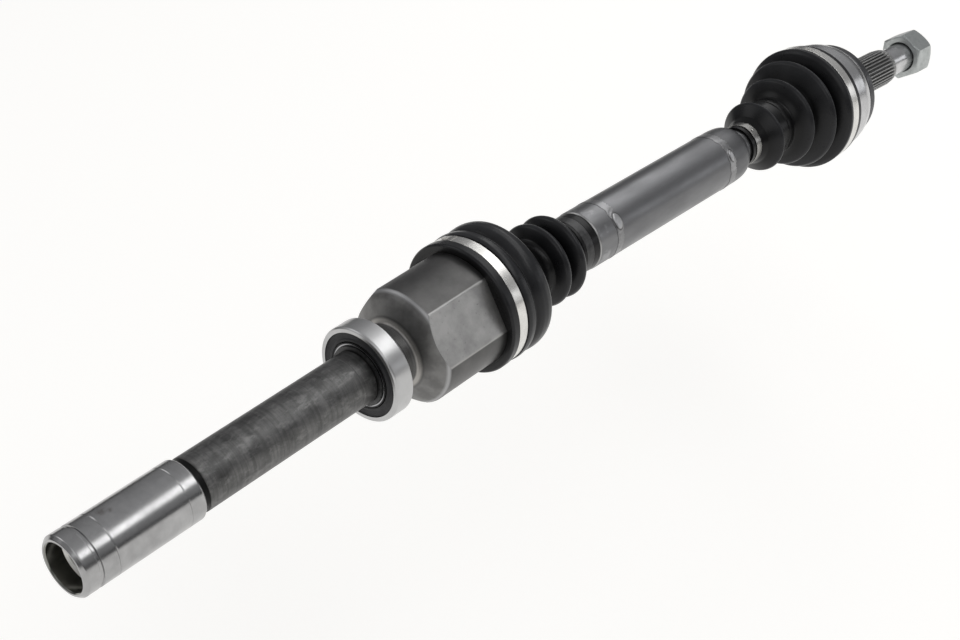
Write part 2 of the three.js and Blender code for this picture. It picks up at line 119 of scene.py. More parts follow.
def refined(points, start, end, step, closed):
    """Adds points so that no stretch between these stations is longer than step."""
    result = []
    last = len(points) if closed else len(points) - 1
    for i in range(last):
        a, b = points[i], points[(i + 1) % len(points)]
        result.append(a)
        inside = max(a[0], b[0]) > start and min(a[0], b[0]) < end
        parts = math.ceil(np.linalg.norm(b - a) / step) if inside else 1
        for k in range(1, parts):
            result.append(a + (b - a) * k / parts)
    if not closed:
        result.append(points[-1])
    return np.array(result)


# ---- meshes ----
def finish_mesh(name, verts, faces, place, axis, material, sharp=38, marks=None):
    """One smooth-shaded piece. Its place attribute keeps each point's own axis coordinates, in mm."""
    mesh = bpy.data.meshes.new(name)
    mesh.from_pydata([tuple(v * MM) for v in verts], [], faces)
    attribute = mesh.attributes.new("place", "FLOAT_VECTOR", "POINT")
    attribute.data.foreach_set("vector", np.asarray(place, np.float32).ravel())
    for key, values in (marks or {}).items():
        extra = mesh.attributes.new(key, "FLOAT", "POINT")
        extra.data.foreach_set("value", np.asarray(values, np.float32).ravel())
    mesh.validate()
    mesh.polygons.foreach_set("use_smooth", [True] * len(mesh.polygons))
    mesh.set_sharp_from_angle(angle=math.radians(sharp))
    mesh.materials.append(material)
    piece = bpy.data.objects.new(name, mesh)
    piece.matrix_world = axis
    bpy.context.scene.collection.objects.link(piece)
    weighted = piece.modifiers.new("weighted", "WEIGHTED_NORMAL")
    weighted.keep_sharp = True
    return piece


def lathe(name, profile, axis, material, sides, closed=True, fillet=0.3, fine=None,
          shape=None, marks=None, bend=None, sharp=38):
    """A turned piece. shape changes its radii, marks adds attributes, and bend moves its points."""
    points = rounded(profile, fillet, closed)
    if fine:
        points = refined(points, *fine, closed)
    turn = np.arange(sides) * 2 * math.pi / sides
    x = np.repeat(points[:, 0][:, None], sides, 1)
    r = np.repeat(points[:, 1][:, None], sides, 1)
    angle = np.repeat(turn[None, :], len(points), 0)
    if shape:
        r = shape(x, r, angle, np.arange(len(points))[:, None])
    grid = np.stack([x, r * np.cos(angle), r * np.sin(angle)], -1)
    rings = len(points)
    index = np.zeros((rings, sides), int)
    order = []
    verts = []
    for i in range(rings):
        single = points[i, 1] < 1e-6
        for j in range(sides):
            if single and j:
                index[i, j] = index[i, 0]
                continue
            index[i, j] = len(verts)
            order.append((i, j))
            verts.append(grid[i, j])
    faces = []
    for i in range(rings if closed else rings - 1):
        n = (i + 1) % rings
        for j in range(sides):
            m = (j + 1) % sides
            corners = [index[i, j], index[i, m], index[n, m], index[n, j]]
            unique = [int(c) for k, c in enumerate(corners) if c not in corners[:k]]
            if len(unique) > 2:
                faces.append(unique)
    verts = np.array(verts)
    values = {}
    if marks:
        for key, table in marks(x, r, angle).items():
            values[key] = [table[i, j] for i, j in order]
    placed = bend(verts) if bend else verts
    return finish_mesh(name, placed, faces, verts, axis, material, sharp, values)


def arc_band(name, axis, material, start, end, inner, outer, first, last, steps, edge=0.25):
    """A strip bent round the axis between two angles, in degrees, with softened edges."""
    section = rounded([(start, inner), (start, outer), (end, outer), (end, inner)], edge, True, 2)
    angles = np.radians(np.linspace(first, last, steps))
    verts = [np.array([x, r * math.cos(a), r * math.sin(a)]) for a in angles for x, r in section]
    n = len(section)
    faces = []
    for i in range(steps - 1):
        for j in range(n):
            k = (j + 1) % n
            faces.append([i * n + j, (i + 1) * n + j, (i + 1) * n + k, i * n + k])
    faces.append(list(range(n)))
    faces.append([(steps - 1) * n + n - 1 - j for j in range(n)])
    verts = np.array(verts)
    return finish_mesh(name, verts, faces, verts, axis, material)


# ---- materials ----
class Finish:
    """A small wrapper that builds one procedural material."""

    def __init__(self, name, coords="place"):
        self.material = bpy.data.materials.new(name)
        self.material.use_nodes = True
        self.tree = self.material.node_tree
        self.tree.nodes.clear()
        out = self.node("ShaderNodeOutputMaterial")
        self.shader = self.node("ShaderNodeBsdfPrincipled")
        self.link(self.shader.outputs[0], out.inputs[0])
        if coords == "place":
            self.coords = self.attribute("place", "Vector")
        else:
            scaled = self.node("ShaderNodeVectorMath")
            scaled.operation = "SCALE"
            scaled.inputs["Scale"].default_value = 1 / MM
            self.link(self.node("ShaderNodeTexCoord").outputs["Object"], scaled.inputs[0])
            self.coords = scaled.outputs[0]

    def node(self, kind):
        return self.tree.nodes.new(kind)

    def link(self, output, socket):
        self.tree.links.new(output, socket)

    def feed(self, socket, value):
        if isinstance(value, bpy.types.NodeSocket):
            self.link(value, socket)
        else:
            socket.default_value = value

    def attribute(self, name, output="Fac"):
        node = self.node("ShaderNodeAttribute")
        node.attribute_name = name
        return node.outputs[output]

    def noise(self, stretch=(1, 1, 1), scale=1.0, detail=4.0, rough=0.55, offset=(0, 0, 0)):
        mapped = self.node("ShaderNodeMapping")
        mapped.inputs["Scale"].default_value = stretch
        mapped.inputs["Location"].default_value = offset
        self.link(self.coords, mapped.inputs[0])
        node = self.node("ShaderNodeTexNoise")
        node.inputs["Scale"].default_value = scale
        node.inputs["Detail"].default_value = detail
        node.inputs["Roughness"].default_value = rough
        self.link(mapped.outputs[0], node.inputs["Vector"])
        return node.outputs["Fac"]

    def span(self, value, low, high, to_low=0.0, to_high=1.0):
        node = self.node("ShaderNodeMapRange")
        self.feed(node.inputs[0], value)
        for i, number in enumerate((low, high, to_low, to_high)):
            node.inputs[i + 1].default_value = number
        return node.outputs[0]

    def maths(self, operation, a, b=0.0):
        node = self.node("ShaderNodeMath")
        node.operation = operation
        self.feed(node.inputs[0], a)
        self.feed(node.inputs[1], b)
        return node.outputs[0]

    def mix(self, share, a, b):
        node = self.node("ShaderNodeMix")
        node.data_type = "RGBA"
        self.feed(node.inputs["Factor"], share)
        for socket, value in ((node.inputs[6], a), (node.inputs[7], b)):
            self.feed(socket, value if isinstance(value, bpy.types.NodeSocket) else (*value, 1))
        return node.outputs[2]

    def split(self):
        node = self.node("ShaderNodeSeparateXYZ")
        self.link(self.coords, node.inputs[0])
        return node.outputs

    def radius(self):
        place = self.split()
        y, z = place[1], place[2]
        squares = self.maths("ADD", self.maths("MULTIPLY", y, y), self.maths("MULTIPLY", z, z))
        return self.maths("SQRT", squares)

    def band(self, start, end, soft):
        """1 between two stations and 0 outside."""
        x = self.split()[0]
        rise = self.span(x, start - soft, start + soft)
        fall = self.span(x, end - soft, end + soft, 1, 0)
        return self.maths("MULTIPLY", rise, fall)

    def spot(self, centre, radius, soft):
        """1 near a point in axis coordinates."""
        node = self.node("ShaderNodeVectorMath")
        node.operation = "DISTANCE"
        self.link(self.coords, node.inputs[0])
        node.inputs[1].default_value = centre
        return self.span(node.outputs["Value"], radius - soft, radius + soft, 1, 0)

    def bump(self, height, distance):
        node = self.node("ShaderNodeBump")
        node.inputs["Strength"].default_value = 1.0
        node.inputs["Distance"].default_value = distance * MM
        self.link(height, node.inputs["Height"])
        if self.shader.inputs["Normal"].is_linked:
            before = self.shader.inputs["Normal"].links[0].from_socket
            self.link(before, node.inputs["Normal"])
        self.link(node.outputs[0], self.shader.inputs["Normal"])

    def done(self, color, rough, metallic=1.0):
        self.feed(self.shader.inputs["Base Color"], color)
        self.feed(self.shader.inputs["Roughness"], rough)
        self.shader.inputs["Metallic"].default_value = metallic
        return self.material


# Stretches a noise into fine lines that run round the axis.
RINGS = (5.0, 0.02, 0.02)


def ground_steel(name, light, dark, rough, rust=(), bore=0, gap=None):
    """Ground steel. rust is a list of (centre, size), bore the radius below which the bore is coloured
    darker, gap a stretch painted near-black as shade in a groove.
    """
    f = Finish(name)
    cloud = f.noise(scale=0.09, detail=6 if rust else 2)
    lines = f.noise(RINGS, 1.0, 5)
    color = f.mix(f.span(cloud, 0.35, 0.68), light, dark)
    color = f.mix(f.span(lines, 0.35, 0.75, 0, 0.3), color, dark)
    if rust:
        specks = f.span(f.noise(scale=0.9, detail=3, offset=(7, 3, 1)), 0.70, 0.76)
        color = f.mix(f.maths("MULTIPLY", specks, 0.4), color, (0.11, 0.10, 0.09))
        grain = f.span(f.noise((0.3, 1, 1), 2.2, 4, offset=(1, 9, 4)), 0.40, 0.62, 0, 0.65)
        for centre, size in rust:
            share = f.maths("MULTIPLY", f.spot(centre, size, size * 0.5), grain)
            color = f.mix(share, color, (0.075, 0.045, 0.03))
    if bore:
        color = f.mix(f.span(f.radius(), bore - 0.1, bore + 0.1, 1, 0), color, (0.24, 0.24, 0.222))
    # Painted shade: the gap stretch, a groove, is coloured near-black.
    if gap:
        color = f.mix(f.band(*gap, 0.15), color, (0.012, 0.012, 0.012))
    f.bump(lines, 0.003)
    return f.done(color, f.span(cloud, 0.3, 0.7, *rough))


def inner_ring_steel():
    """Painted near-black as shade, with a narrow land of the face painted bright as a highlight."""
    f = Finish("inner_ring_steel")
    cloud = f.noise(scale=0.3, detail=5)
    r = f.radius()
    land = f.maths("MULTIPLY", f.span(r, 19.6, 19.8), f.span(r, 20.3, 20.5, 1, 0))
    # Painted highlight on the land, painted shade on the rest of the ring.
    color = f.mix(land, (0.022, 0.022, 0.023), (0.40, 0.40, 0.41))
    return f.done(color, f.span(cloud, 0.3, 0.7, 0.24, 0.36))


def bar_steel():
    f = Finish("bar_steel")
    cloud = f.noise((0.6, 1, 1), 0.13, 8, 0.65)
    bands = f.noise((0.55, 0.04, 0.04), 1.0, 4)
    lines = f.noise(RINGS, 1.0, 4)
    color = f.mix(f.span(cloud, 0.30, 0.72), (0.065, 0.065, 0.0645), (0.20, 0.198, 0.195))
    color = f.mix(f.span(bands, 0.38, 0.66, 0, 0.55), color, (0.065, 0.065, 0.064))
    color = f.mix(f.span(lines, 0.5, 0.8, 0, 0.3), color, (0.17, 0.168, 0.165))
    patch = f.span(f.noise((0.5, 1, 1), 0.22, 7, 0.7, (3, 8, 2)), 0.52, 0.66, 0, 0.5)
    color = f.mix(patch, color, (0.25, 0.248, 0.243))
    # Painted shade: the groove behind the sleeve's end is coloured near-black.
    color = f.mix(f.band(-201.3, -197.0, 0.2), color, (0.010, 0.010, 0.010))
    f.bump(lines, 0.02)
    f.bump(cloud, 0.05)
    return f.done(color, f.span(cloud, 0.3, 0.7, 0.36, 0.52), 0.9)


def forged_steel():
    f = Finish("forged_steel")
    cloud = f.noise(scale=0.07, detail=8, rough=0.6)
    grain = f.noise(scale=1.3, detail=5)
    lines = f.noise(RINGS, 1.0, 4)
    color = f.mix(f.span(cloud, 0.3, 0.7), (0.085, 0.084, 0.083), (0.125, 0.123, 0.121))
    flat = f.attribute("flat")
    mottled = f.mix(f.span(cloud, 0.36, 0.64), (0.33, 0.327, 0.322), (0.46, 0.455, 0.447))
    color = f.mix(flat, color, mottled)
    pits = f.span(f.noise(scale=0.42, detail=4, offset=(4, 4, 4)), 0.64, 0.72)
    pitted = f.maths("MULTIPLY", f.maths("MULTIPLY", pits, flat), 0.6)
    color = f.mix(pitted, color, (0.20, 0.197, 0.192))
    beside_flat = f.maths("SUBTRACT", 1.0, flat)
    # The flare beside the flats is coloured a lighter mottled grey.
    flare = f.maths("MULTIPLY", f.band(-37, -29.9, 0.4), beside_flat)
    flare_mottle = f.span(f.noise(scale=0.10, detail=5, offset=(2, 7, 3)), 0.4, 0.62)
    flare_tone = f.mix(flare_mottle, (0.15, 0.148, 0.145), (0.22, 0.218, 0.214))
    color = f.mix(f.maths("MULTIPLY", flare, 0.8), color, flare_tone)
    # Painted highlight: the chamfer ring at the rim of the dome is coloured pale.
    chamfer_highlight = f.maths("MULTIPLY", f.band(-30.3, -28.6, 0.5), beside_flat)
    color = f.mix(f.maths("MULTIPLY", chamfer_highlight, 0.8), color, (0.40, 0.40, 0.405))
    # Painted highlight: the fillet between the neck and the flare is coloured pale beige.
    color = f.mix(f.maths("MULTIPLY", f.band(-39.2, -37.6, 0.4), 0.7), color, (0.52, 0.50, 0.475))
    # Painted highlight: the lines where the flats meet the round surface are coloured bright.
    color = f.mix(f.attribute("edge"), color, (0.60, 0.595, 0.58))
    turned = f.band(-53, -40.3, 0.4)
    tone_mark = f.mix(f.span(lines, 0.35, 0.65), (0.05, 0.05, 0.05), (0.19, 0.188, 0.184))
    color = f.mix(turned, color, tone_mark)
    f.bump(f.maths("MULTIPLY", lines, turned), 0.10)
    f.bump(grain, 0.025)
    f.bump(f.maths("MULTIPLY", cloud, flat), 0.25)
    rough = f.span(f.attribute("edge"), 0, 1, 0.42, 0.22)
    return f.done(color, rough, 0.92)


def tube_steel(name, light, dark, rough, edge=None):
    """Dull drawn steel. edge is a stretch painted pale as a highlight."""
    f = Finish(name)
    cloud = f.noise((0.35, 1, 1), 0.09, 7)
    lines = f.noise(RINGS, 0.8, 4)
    color = f.mix(f.span(cloud, 0.32, 0.7), light, dark)
    specks = f.span(f.noise(scale=1.1, detail=3, offset=(2, 5, 8)), 0.70, 0.76, 0, 0.4)
    color = f.mix(specks, color, (0.12, 0.12, 0.12))
    if edge:
        patch = f.span(f.noise((0.6, 1, 1), 0.12, 5, offset=(3, 1, 6)), 0.50, 0.62, 0, 0.6)
        color = f.mix(f.maths("MULTIPLY", patch, f.band(137.5, 147, 1.0)), color, (0.36, 0.36, 0.365))
        # Painted highlight: the edge stretch is coloured pale.
        color = f.mix(f.band(*edge, 0.15), color, (0.40, 0.40, 0.395))
    f.bump(lines, 0.01)
    return f.done(color, f.span(cloud, 0.3, 0.7, *rough), 0.92)


def weld_steel():
    f = Finish("weld_steel")
    cloud = f.noise(scale=0.35, detail=7)
    patch = f.noise((0.6, 1, 1), 0.12, 5, offset=(3, 1, 6))
    color = f.mix(f.span(cloud, 0.35, 0.65), (0.19, 0.19, 0.193), (0.26, 0.26, 0.263))
    color = f.mix(f.span(patch, 0.50, 0.62, 0, 0.6), color, (0.38, 0.38, 0.385))
    color = f.mix(f.attribute("lump"), color, (0.42, 0.42, 0.425))
    tone_mark = f.maths("MULTIPLY", f.attribute("seam"), f.span(cloud, 0.35, 0.55, 0.45, 1))
    color = f.mix(tone_mark, color, (0.015, 0.015, 0.015))
    f.bump(cloud, 0.10)
    return f.done(color, f.span(cloud, 0.3, 0.7, 0.30, 0.44), 0.92)


def rubber(name, base=(0.0010, 0.0010, 0.0012), rough=(0.26, 0.34), coords="place"):
    """Black rubber. Its folds are painted near-black in the valleys as shade and a little paler on the crests
    as a highlight, with some dust there.
    """
    f = Finish(name, coords)
    cloud = f.noise(scale=0.11, detail=6)
    grain = f.noise(scale=2.2, detail=4)
    dust = f.noise((0.5, 1, 1), 0.3, 7, 0.7, (5, 2, 6))
    color = f.mix(f.span(cloud, 0.35, 0.7), base, [0.6 * channel for channel in base])
    # Painted shade and highlight: the valleys stay near-black and the crests are coloured paler.
    tone_mark = f.maths("MULTIPLY", f.attribute("crest"), f.span(cloud, 0.30, 0.7, 0.7, 1))
    color = f.mix(tone_mark, color, (0.021, 0.0213, 0.0235))
    # Dust on the crests, which also adds to the painted highlight there.
    dust_and_sheen = f.maths("MULTIPLY", f.span(dust, 0.60, 0.78, 0, 0.35), tone_mark)
    color = f.mix(dust_and_sheen, color, (0.04, 0.04, 0.041))
    f.bump(grain, 0.006)
    f.bump(cloud, 0.04)
    f.shader.inputs["Specular IOR Level"].default_value = 0.24
    return f.done(color, f.span(cloud, 0.3, 0.7, *rough), 0.0)


def clamp_steel(name, light, dark):
    f = Finish(name)
    cloud = f.noise(scale=0.12, detail=3)
    color = f.mix(f.span(cloud, 0.35, 0.7), light, dark)
    return f.done(color, f.span(cloud, 0.3, 0.7, 0.22, 0.30))


def zinc():
    f = Finish("zinc_plate")
    cloud = f.noise(scale=0.22, detail=7)
    grain = f.noise(scale=1.8, detail=3)
    color = f.mix(f.span(cloud, 0.35, 0.68), (0.45, 0.47, 0.465), (0.35, 0.37, 0.365))
    f.bump(grain, 0.02)
    return f.done(color, f.span(cloud, 0.3, 0.7, 0.28, 0.42), 0.9)


def spline_steel():
    f = Finish("spline_steel")
    cloud = f.noise((0.3, 1, 1), 0.5, 6)
    depth = f.attribute("depth")
    color = f.mix(f.span(cloud, 0.3, 0.7), (0.34, 0.34, 0.335), (0.24, 0.24, 0.235))
    color = f.mix(depth, color, (0.05, 0.05, 0.05))
    f.bump(cloud, 0.05)
    return f.done(color, 0.40, 0.9)


def plain(name, light, dark, rough, coords="place", metallic=0.9):
    f = Finish(name, coords)
    cloud = f.noise(scale=0.4, detail=6)
    f.bump(f.noise(scale=2.0, detail=3), 0.01)
    color = f.mix(f.span(cloud, 0.35, 0.7), light, dark)
    return f.done(color, f.span(cloud, 0.3, 0.7, *rough), metallic)


RUST = [((-254.5, 0.4, 18.7), 2.4), ((-250.5, -2.2, 18.6), 1.5)]
SLEEVE = ground_steel("sleeve_steel", (0.42, 0.419, 0.42), (0.33, 0.329, 0.33), (0.18, 0.24), RUST, 15.6)
BEARING = ground_steel("bearing_steel", (0.50, 0.50, 0.50), (0.46, 0.46, 0.46), (0.28, 0.33))
RACE = inner_ring_steel()
# The bell's groove beside the boot's large clamp is painted near-black as shade.
BELL = ground_steel("bell_steel", (0.56, 0.56, 0.565), (0.46, 0.46, 0.465), (0.20, 0.28),
                    gap=(-10.7, -6.7))
# Painted light: the bore's land is coloured pale so that it shows bright inside the bore.
LAND = ground_steel("land_steel", (0.80, 0.79, 0.76), (0.64, 0.63, 0.60), (0.34, 0.46))
BAR = bar_steel()
FORGED = forged_steel()
TUBE = tube_steel("tube_steel", (0.190, 0.191, 0.196), (0.150, 0.151, 0.155), (0.31, 0.39))
# The flange's chamfer from 136.4 to 137.0 is painted pale as a highlight.
FLANGE = tube_steel("flange_steel", (0.205, 0.206, 0.21), (0.155, 0.156, 0.16), (0.30, 0.40),
                    (136.4, 137.0))
ENDCAP = tube_steel("end_steel", (0.165, 0.166, 0.17), (0.115, 0.116, 0.119), (0.34, 0.44))
WELD = weld_steel()
BOOT = rubber("boot_rubber")
SEAL = rubber("seal_rubber", (0.022, 0.022, 0.024), (0.42, 0.52))
CLAMP = clamp_steel("clamp_steel", (0.72, 0.71, 0.685), (0.62, 0.612, 0.59))
DULL_CLAMP = clamp_steel("dull_clamp_steel", (0.36, 0.355, 0.34), (0.26, 0.257, 0.247))
ZINC = zinc()
SPLINE = spline_steel()
SPRING = plain("spring_steel", (0.045, 0.045, 0.046), (0.08, 0.08, 0.08), (0.34, 0.46))
RINGBLACK = plain("ring_black", (0.10, 0.10, 0.104), (0.065, 0.065, 0.068), (0.30, 0.40))
INNER = plain("hardened_steel", (0.62, 0.62, 0.63), (0.50, 0.50, 0.51), (0.12, 0.22), "object", 1.0)
INNER_FORGED = plain("forged_inside", (0.30, 0.30, 0.30), (0.22, 0.22, 0.22), (0.35, 0.5), "object")
NYLON = plain("cage_nylon", (0.30, 0.26, 0.19), (0.26, 0.22, 0.16), (0.45, 0.6), "object", 0.0)
BUSH = rubber("bush_rubber", coords="object")
INNER_SPRING = plain("spring_inside", (0.05, 0.05, 0.05), (0.08, 0.08, 0.08), (0.34, 0.46), "object")


def put(piece, body, slot, *nodes):
    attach(piece, body)
    if nodes:
        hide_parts(*nodes)
    return piece


# ---- gearbox sleeve ----
def v_groove(at, radius, depth, half=0.3):
    return [(at - half, radius, 0.05), (at, radius - depth, 0.05), (at + half, radius, 0.05)]


SLEEVE_R = 18.75
GROOVE_R = SLEEVE_R - 0.9
sleeve = lathe("gearbox_sleeve_ground", [
    (-283, 15.6, 0.15), (-283, 16.8, 0.3), (-280.9, SLEEVE_R, 0.5), (-273.4, SLEEVE_R, 0.1),
    (-272.9, GROOVE_R, 0.1), (-271.3, GROOVE_R, 0.1), (-270.8, SLEEVE_R, 0.1),
    *v_groove(-260.5, SLEEVE_R, 0.42, 0.5), *v_groove(-211.5, SLEEVE_R, 0.3, 0.4),
    (-202.4, SLEEVE_R, 0.2), (-201.2, GROOVE_R, 0.15), (-201.2, 14.85, 0.1),
    (-272.6, 14.85, 0.1), (-282.25, 14.85, 0.15),
], tulip_axis, SLEEVE, sides=160)
land = lathe("sleeve_bore_land", [
    (-272.4, 14.84, 0.1), (-271.0, 13.3, 0.15), (-252, 13.3, 0.1), (-252, 14.84, 0.1),
], tulip_axis, LAND, sides=128)
put(land, "tulip", "ground_steel")
put(sleeve, "tulip", "ground_steel", "gearbox_sleeve")
plug = lathe("bore_plug_turned", [
    (-245, 0), (-245, 11.2, 0.5), (-247, 12.6, 0.5), (-247, 14.5, 0.3), (-241, 14.5, 0.3), (-241, 0),
], tulip_axis, ZINC, sides=96, closed=False)
put(plug, "tulip", "plated_steel", "bore_plug")

# ---- bar ----
bar = lathe("intermediate_bar", [
    (-235, 0), (-235, 14.55, 0.4), (-200.9, 14.55, 0.1), (-200.9, 16.3, 0.3), (-197.2, 16.3, 0.2),
    (-196.6, 17, 0.15), *v_groove(-79, 17, 0.22), (-69.2, 17, 0.2), (-68.9, 16.1, 0.1), (-67.2, 16.1, 0.1),
    (-67.2, 17.2, 0.1), (-52.7, 17.2, 0.1), (-52.7, 0),
], tulip_axis, BAR, sides=128, closed=False)
put(bar, "tulip", "forged_steel", "bar_and_tulip")


# ---- tulip forging: three flats outside, three roller tracks inside ----
def nearest(turn, normals):
    """The smallest angle from each turn to any of the normals."""
    away = [np.abs((turn - n + math.pi) % (2 * math.pi) - math.pi) for n in normals]
    return np.minimum.reduce(away)


def soft_min(a, b, k):
    """The smaller of a and b, rounded over where they differ by less than k."""
    h = np.clip(0.5 + 0.5 * (b - a) / k, 0, 1)
    return b * (1 - h) + a * h - k * h * (1 - h)


FLAT = 33.8
TRACK_DEPTH = 29
TRACK_HALF = 16.5
FORGED_OUTLINE = [
    (-52.4, 19.6, 0.2), (-41, 19.4, 1.2), (-39, 20.3, 1.2), (-37.6, 22.8, 1.2), (-34.2, 29.8, 2.5),
    (-32.3, 33.7, 1.5), (-29.9, 36.7, 0.2), (-28.4, 38, 0.15), (37, 38, 0.8),
]
TULIP = [(-52.4, 0), *FORGED_OUTLINE, (37, 30.3, 0.5), (15, 22.5, 2), (-31, 22, 0.6), (-31, 0)]


def flat_surface(turn):
    return FLAT / np.maximum(np.cos(nearest(turn, FLAT_NORMALS)), 0.5)


def tulip_shape(x, r, turn, row):
    outside = (r > 30.35) | (x < -31.5)
    shaped = np.where(outside & (r > 25), soft_min(r, flat_surface(turn), 0.3), r)
    away = nearest(turn, ARMS)
    bottom = TRACK_DEPTH / np.maximum(np.cos(away), 0.05)
    wall = TRACK_HALF / np.maximum(np.sin(away), 0.05)
    box = np.minimum(bottom, wall)
    box = np.where(away < math.pi / 2, box, 0)
    inside = ~outside & (r > 5) & (x > -31.1)
    return np.where(inside, np.maximum(r, box), shaped)


def tulip_marks(x, r, turn):
    """flat marks the flats, and edge the lines where they meet the round surface."""
    stations = [p[0] for p in FORGED_OUTLINE]
    radii = [p[1] for p in FORGED_OUTLINE]
    over = np.interp(x, stations, radii) - flat_surface(turn)
    on_edge = np.clip(1 - np.abs(over) / 0.28, 0, 1) * (x > -28.6)
    return {"flat": np.clip((over + 0.15) / 0.4, 0, 1), "edge": on_edge * 0.8}


tulip = lathe("tulip_forging", TULIP, tulip_axis, FORGED, sides=288, closed=False,
              fine=(-52, 37, 0.7), shape=tulip_shape, marks=tulip_marks, sharp=50)
put(tulip, "tulip", "forged_steel", "bar_and_tulip")

# ---- support bearing ----
outer_ring = lathe("bearing_outer_ring_polished", [
    (-67, 27.7, 0.1), (-67, 30.1, 0.3), (-66.1, 31, 0.5), (-53.9, 31, 0.5), (-53, 30.1, 0.3),
    (-53, 27.7, 0.1), (-55.6, 27.7, 0.1), (-57.4, 27.7, 0.1), (-60, 28.45, 1.5), (-62.6, 27.7, 0.1),
    (-64.4, 27.7, 0.1),
], tulip_axis, BEARING, sides=160)
put(outer_ring, "bearing_ring", "ground_steel", "bearing_outer_ring")
inner_ring = lathe("bearing_inner_ring_polished", [
    (-67, 18.2, 0.1), (-67, 21.3, 0.3), (-62.8, 21.3, 0.2), (-60, 20.1, 1.5), (-57.2, 21.3, 0.2),
    (-53, 21.3, 0.3), (-53, 18.2, 0.1), (-53.8, 17.5, 0.2), (-66.2, 17.5, 0.2),
], tulip_axis, RACE, sides=128)
put(inner_ring, "tulip", "ground_steel", "bearing_inner_ring")


def seal(name, face, out):
    """A moulded seal with a lip at its inner edge. out is -1 for the front and 1 for the rear."""
    depth = [(0.35, 21.7), (0.15, 22.4), (0.35, 23.3), (0.75, 23.9), (0.6, 26.4), (0.35, 27.1),
             (0.35, 27.4)]
    front = [(face - out * d, r, 0.2) for d, r in depth]
    back = [(face - out * 1.6, 27.4, 0.1), (face - out * 1.6, 21.7, 0.1)]
    profile = front + back
    return lathe(name, profile if out < 0 else profile[::-1], tulip_axis, SEAL, sides=128)


put(seal("front_seal_moulded", -67, -1), "bearing_ring", "seal_rubber", "bearing_seal_front")
put(seal("rear_seal_moulded", -53, 1), "bearing_ring", "seal_rubber", "bearing_seal_rear")
clip = arc_band("bearing_circlip_wire", tulip_axis, SPRING, -68.6, -67.3, 16.4, 19.4, 290, 610,
                steps=96, edge=0.2)
put(clip, "tulip", "spring_steel", "bearing_circlip")


# ---- boots: smooth rubber profiles, bent from one axis to the next as the solids are ----
def bent(first, second, shift, start, end):
    """Carries points over from one axis to the next between two stations. shift is the second's origin."""
    to_first = np.array(first)
    to_second = np.array(second) @ np.array(Matrix.Translation((-shift * MM, 0, 0)))

    def place(verts):
        ones = np.hstack([verts * MM, np.ones((len(verts), 1))])
        t = np.clip((verts[:, 0] - start) / (end - start), 0, 1)
        share = (t * t * (3 - 2 * t))[:, None]
        mixed = ones @ to_first.T * (1 - share) + ones @ to_second.T * share
        return mixed[:, :3] / MM

    return place


# Station, radius of the folds' valleys and radius of their crests.
FOLDS = np.array([
    (21, 39, 44.5), (62, 36, 44.5), (84, 18.5, 30), (92, 18.2, 28.4), (125, 18.2, 28.4),
    (330, 15, 26), (342, 18, 26), (356, 20.5, 29.3), (371, 23.5, 32.7), (388, 29.5, 40.4),
    (401, 35, 45.4), (417, 35, 45.4),
])


def fold_marks(x, r, turn):
    """crest is 0 in the valleys and 1 on the crests; the rubber uses it to paint shade in the valleys and a
    highlight on the crests.
    """
    valley = np.interp(x, FOLDS[:, 0], FOLDS[:, 1])
    crest = np.interp(x, FOLDS[:, 0], FOLDS[:, 2])
    return {"crest": np.clip((r - valley) / (crest - valley), 0, 1) ** 1.6}


def boot_piece(name, outside, inside, bend):
    return lathe(name, outside + inside, Matrix.Identity(4), BOOT, sides=160, fillet=1.0, bend=bend,
                 marks=fold_marks, sharp=60)


inboard_bend = bent(tulip_axis, shaft_axis, 0, 68, 88)
lip = boot_piece("inboard_boot_mouth", [
    (21, 39.2, 0.3), (21, 42.8, 0.5), (22.2, 43.8, 0.6), (27.2, 43.8, 0.3), (27.6, 41.7, 0.2),
    (35.4, 41.7, 0.2), (35.8, 43.7, 0.4), (38.5, 44.1, 1), (42.6, 43.5, 1), (44.6, 41.3, 1.2),
    (46.8, 42.9, 1.2), (50, 43.9), (54, 44), (58, 43.1), (60.4, 41, 1.5), (62, 37.5, 0),
], [(62, 34.5, 0), (59, 38.6), (52, 41.6), (44.6, 39.3), (38, 40.6), (23, 40.5, 0.3)], inboard_bend)
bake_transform(lip)
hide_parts("inboard_boot")
funnel = boot_piece("inboard_boot_folds", [
    (62, 37.5, 0), (65, 31, 3), (69.5, 24.6, 3), (75, 21, 3), (84, 19.2, 2),
    (88.8, 19.7, 1.5), (91.2, 24.6, 1.5), (92.8, 27.5), (95, 28.4), (97.2, 27.5), (98.8, 24.6, 1.5),
    (100.9, 19.2, 1.5), (102.5, 18), (104.1, 19.2, 1.5),
    (106.2, 24.6, 1.5), (107.8, 27.5), (110, 28.4), (112.2, 27.5), (114, 24.2, 1.5), (117, 20.2, 2),
    (119, 18.9), (119.6, 18.6, 0.3), (120.2, 18.6, 0.3), (120.8, 19.5, 0.3), (122.8, 19.7, 0.1),
    (122.9, 17.3, 0.1), (130.2, 17.3, 0.1), (130.25, 19.85, 0.1), (135.2, 20.1, 0.6), (135.9, 19.5, 0.3),
], [
    (135.9, 13.3, 0.4), (121, 14.6), (117.5, 17.6), (110, 25.8), (104.6, 17.2), (102.5, 16.2),
    (100.4, 17.2), (95, 25.8), (90.4, 18.4), (88.4, 17.6), (84, 17.2), (75, 18.8, 2), (68, 24.6, 2),
    (62, 34.5, 0),
], inboard_bend)
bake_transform(funnel)
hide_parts("inboard_boot")

